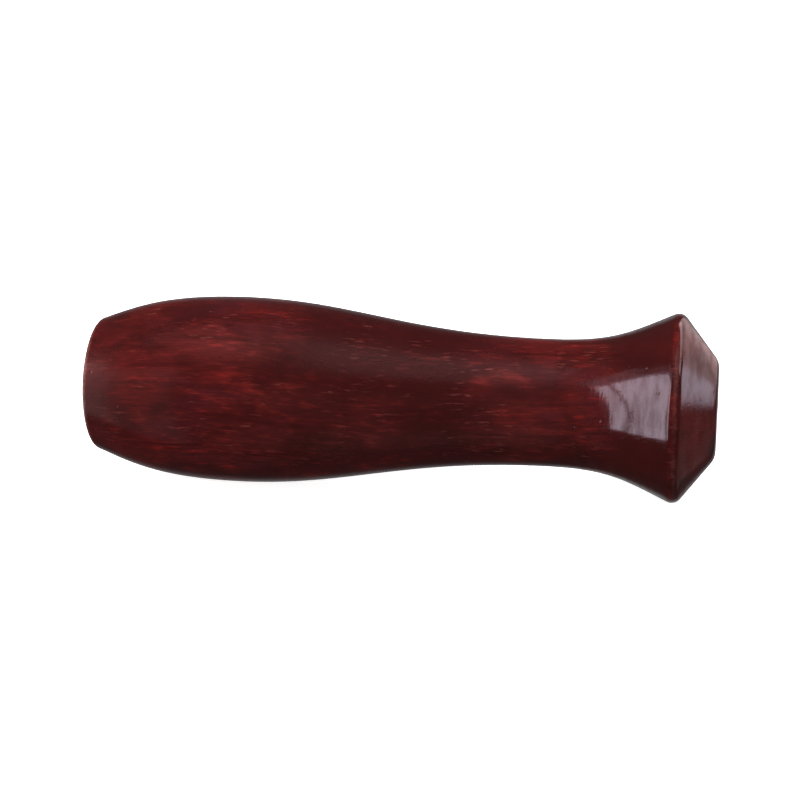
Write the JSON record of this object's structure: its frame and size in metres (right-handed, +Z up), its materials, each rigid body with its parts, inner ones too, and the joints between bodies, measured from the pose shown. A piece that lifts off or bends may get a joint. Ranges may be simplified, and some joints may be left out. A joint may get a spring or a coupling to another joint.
{
  "type": "turned wooden tool handle",
  "caption": "Turned hardwood hand-tool handle: a palm swell, a narrow waist and a flared, bevelled collar round a threaded steel socket for the tool.",
  "frame": {"origin": "centre of the flat nose face, where the tool's shoulder seats, on the handle's turning axis", "axes": "+X along the turning axis, out of the socket towards the tool; the handle lies along X from the butt at x = -0.120 m to the nose at x = 0; +Z up"},
  "size_m": [0.12, 0.036, 0.036],
  "materials": {
    "stained_wood": "dark red-brown stained beech under a thick gloss varnish",
    "zinc_plated_steel": "bright zinc plate, as turned"
  },
  "bodies": {
    "root": {"turned_grip": "stained_wood", "threaded_insert": "zinc_plated_steel"}
  },
  "joints": []
}
